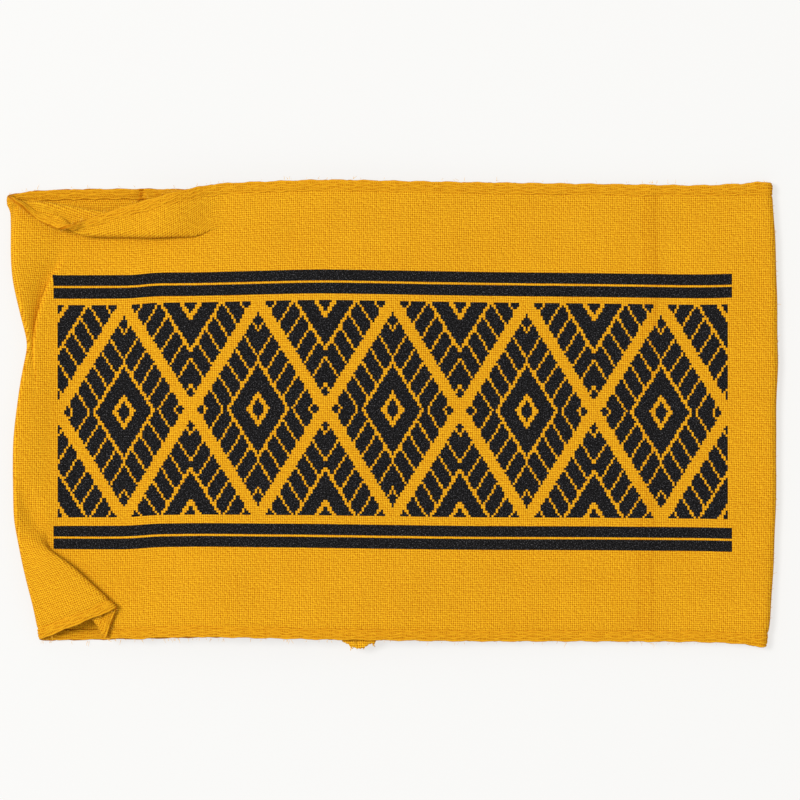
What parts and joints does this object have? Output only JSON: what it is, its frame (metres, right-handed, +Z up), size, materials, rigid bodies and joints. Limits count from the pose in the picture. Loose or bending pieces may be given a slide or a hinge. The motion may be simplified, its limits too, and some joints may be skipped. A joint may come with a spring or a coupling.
{
  "type": "armband",
  "caption": "Wide woven wool armband, a hemmed cloth loop that lies flat, with a pressed fold at one end and a loose folded roll at the other.",
  "frame": {"origin": "on the surface that the band lies on, under the middle of its bounding box", "axes": "+X along the band to the pressed fold, +Y from the lower hem to the upper one, +Z up, out of the front"},
  "size_m": [0.2014, 0.122, 0.0095],
  "materials": {
    "wool": "matte plain weave, mustard yellow, with a black woven pattern on the front"
  },
  "bodies": {
    "root": {"band": "wool", "lower_hem": "wool", "upper_hem": "wool", "back_seam": "wool"}
  },
  "joints": []
}
